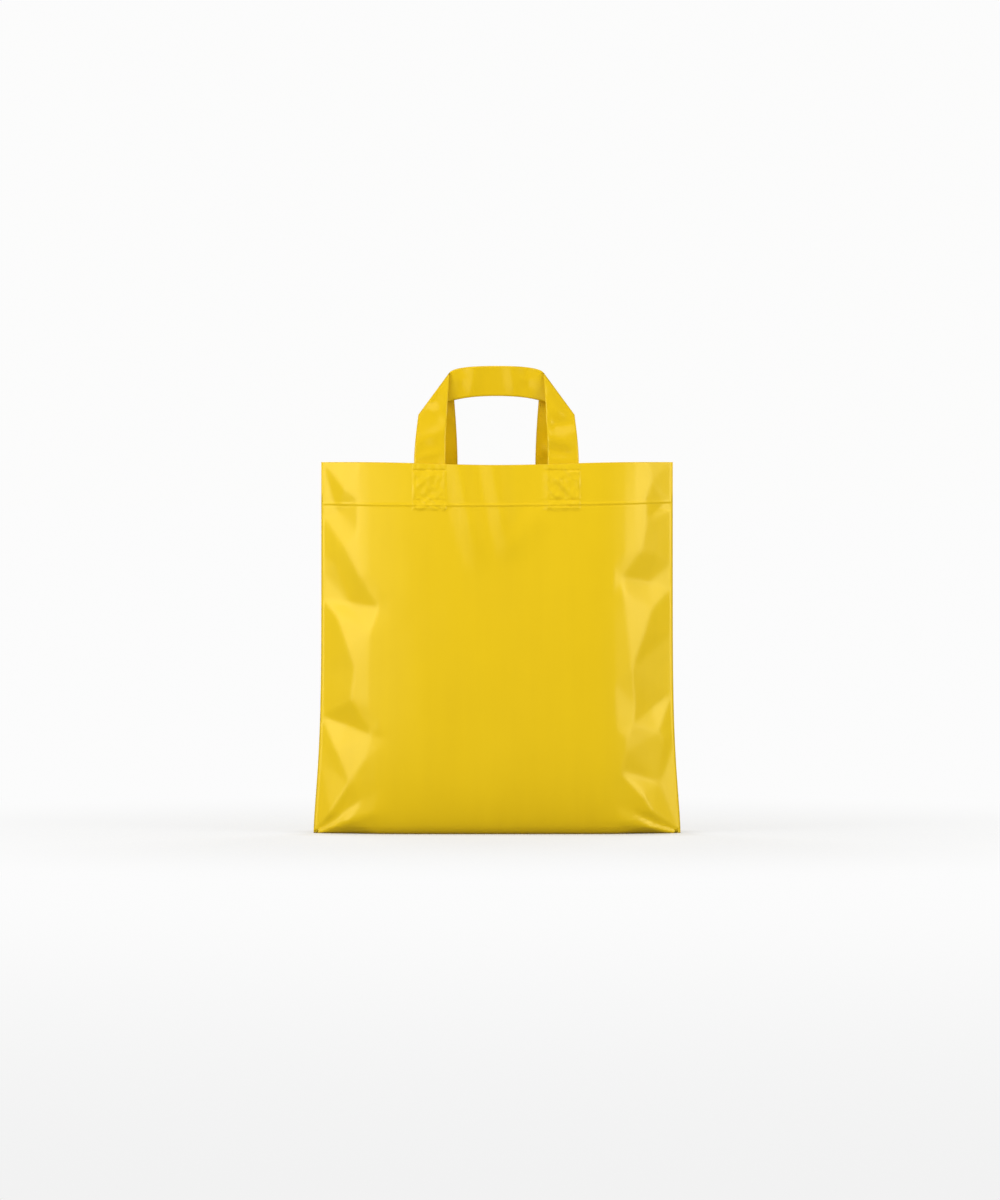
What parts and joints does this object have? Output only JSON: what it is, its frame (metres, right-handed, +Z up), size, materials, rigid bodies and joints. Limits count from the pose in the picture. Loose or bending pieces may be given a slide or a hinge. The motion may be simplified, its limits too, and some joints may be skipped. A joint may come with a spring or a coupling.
{
  "type": "plastic carrier bag",
  "caption": "Glossy film carrier bag standing open on its bottom gusset, with a turned-in hem and soft loop handles welded inside the mouth.",
  "frame": {"origin": "on the floor under the middle of the bag", "axes": "+Z up, X across the bag between its side seams, Y through it from the front panel (-Y) to the rear one (+Y)"},
  "size_m": [0.372, 0.0884, 0.4735],
  "materials": {
    "body_film": "glossy yellow film, soft and slightly see-through to strong light",
    "loop_film": "glossy yellow film strip, a little thicker than the body's"
  },
  "bodies": {
    "root": {"bag_body": "body_film", "front_loop": "loop_film", "rear_loop": "loop_film"}
  },
  "joints": []
}
